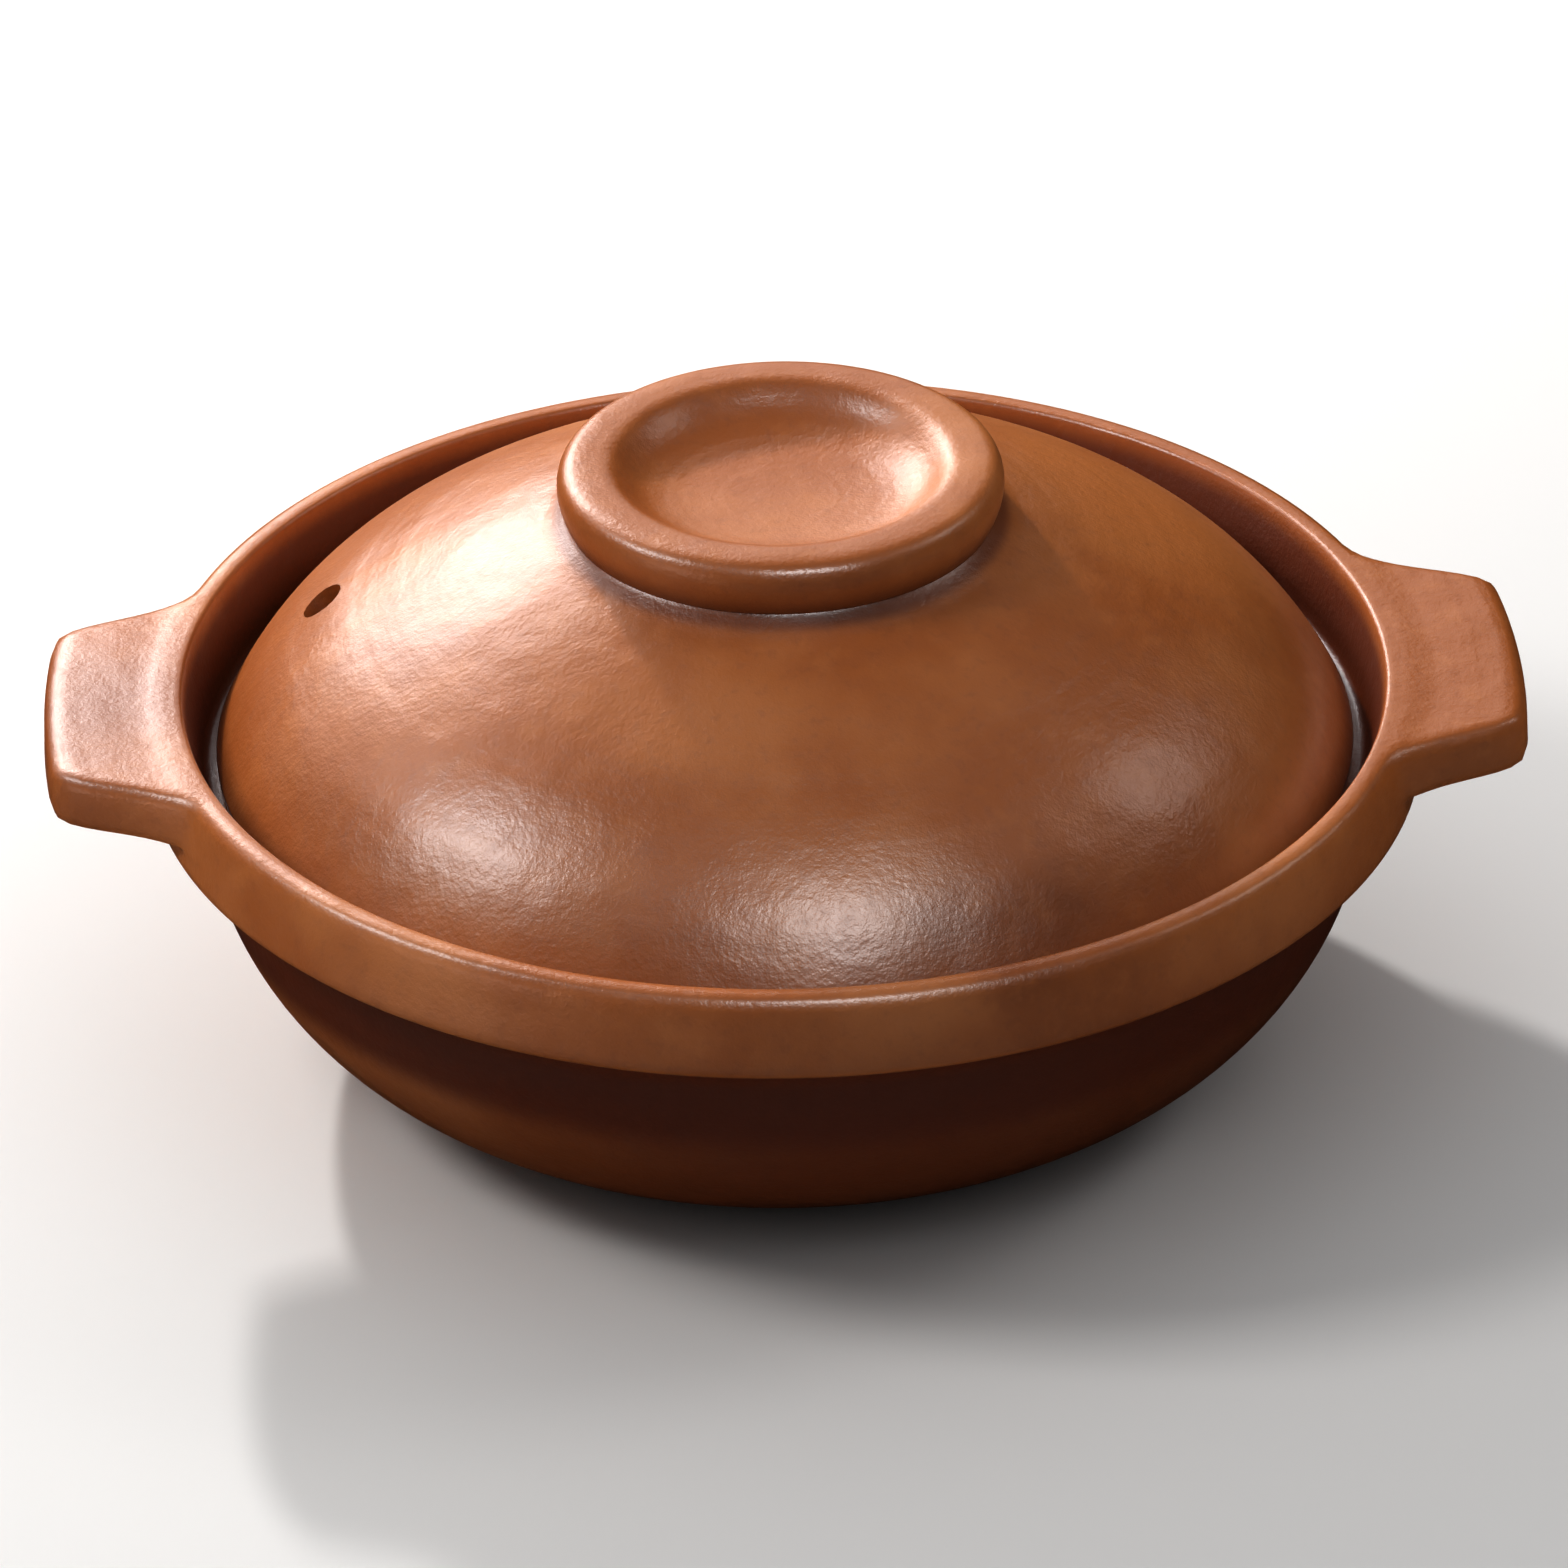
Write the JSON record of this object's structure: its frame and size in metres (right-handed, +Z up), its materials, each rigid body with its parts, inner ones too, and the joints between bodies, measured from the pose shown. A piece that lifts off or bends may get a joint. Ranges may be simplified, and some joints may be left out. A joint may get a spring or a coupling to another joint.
{
  "type": "clay bibimbap pot",
  "caption": "Shallow round glazed clay casserole with two slab handles, and a domed lid with a dished knob that rests on a ledge inside its rim.",
  "frame": {"origin": "centre of the base, on the surface that the pot stands on", "axes": "+X through the right handle, +Y to the back, +Z up through the lid's knob"},
  "size_m": [0.26, 0.2242, 0.1112],
  "materials": {
    "glazed_clay": "satin glaze over orange-brown clay, with fine orange-peel texture and darker blooms"
  },
  "bodies": {
    "root": {"pot": "glazed_clay", "lid": "glazed_clay"}
  },
  "joints": []
}
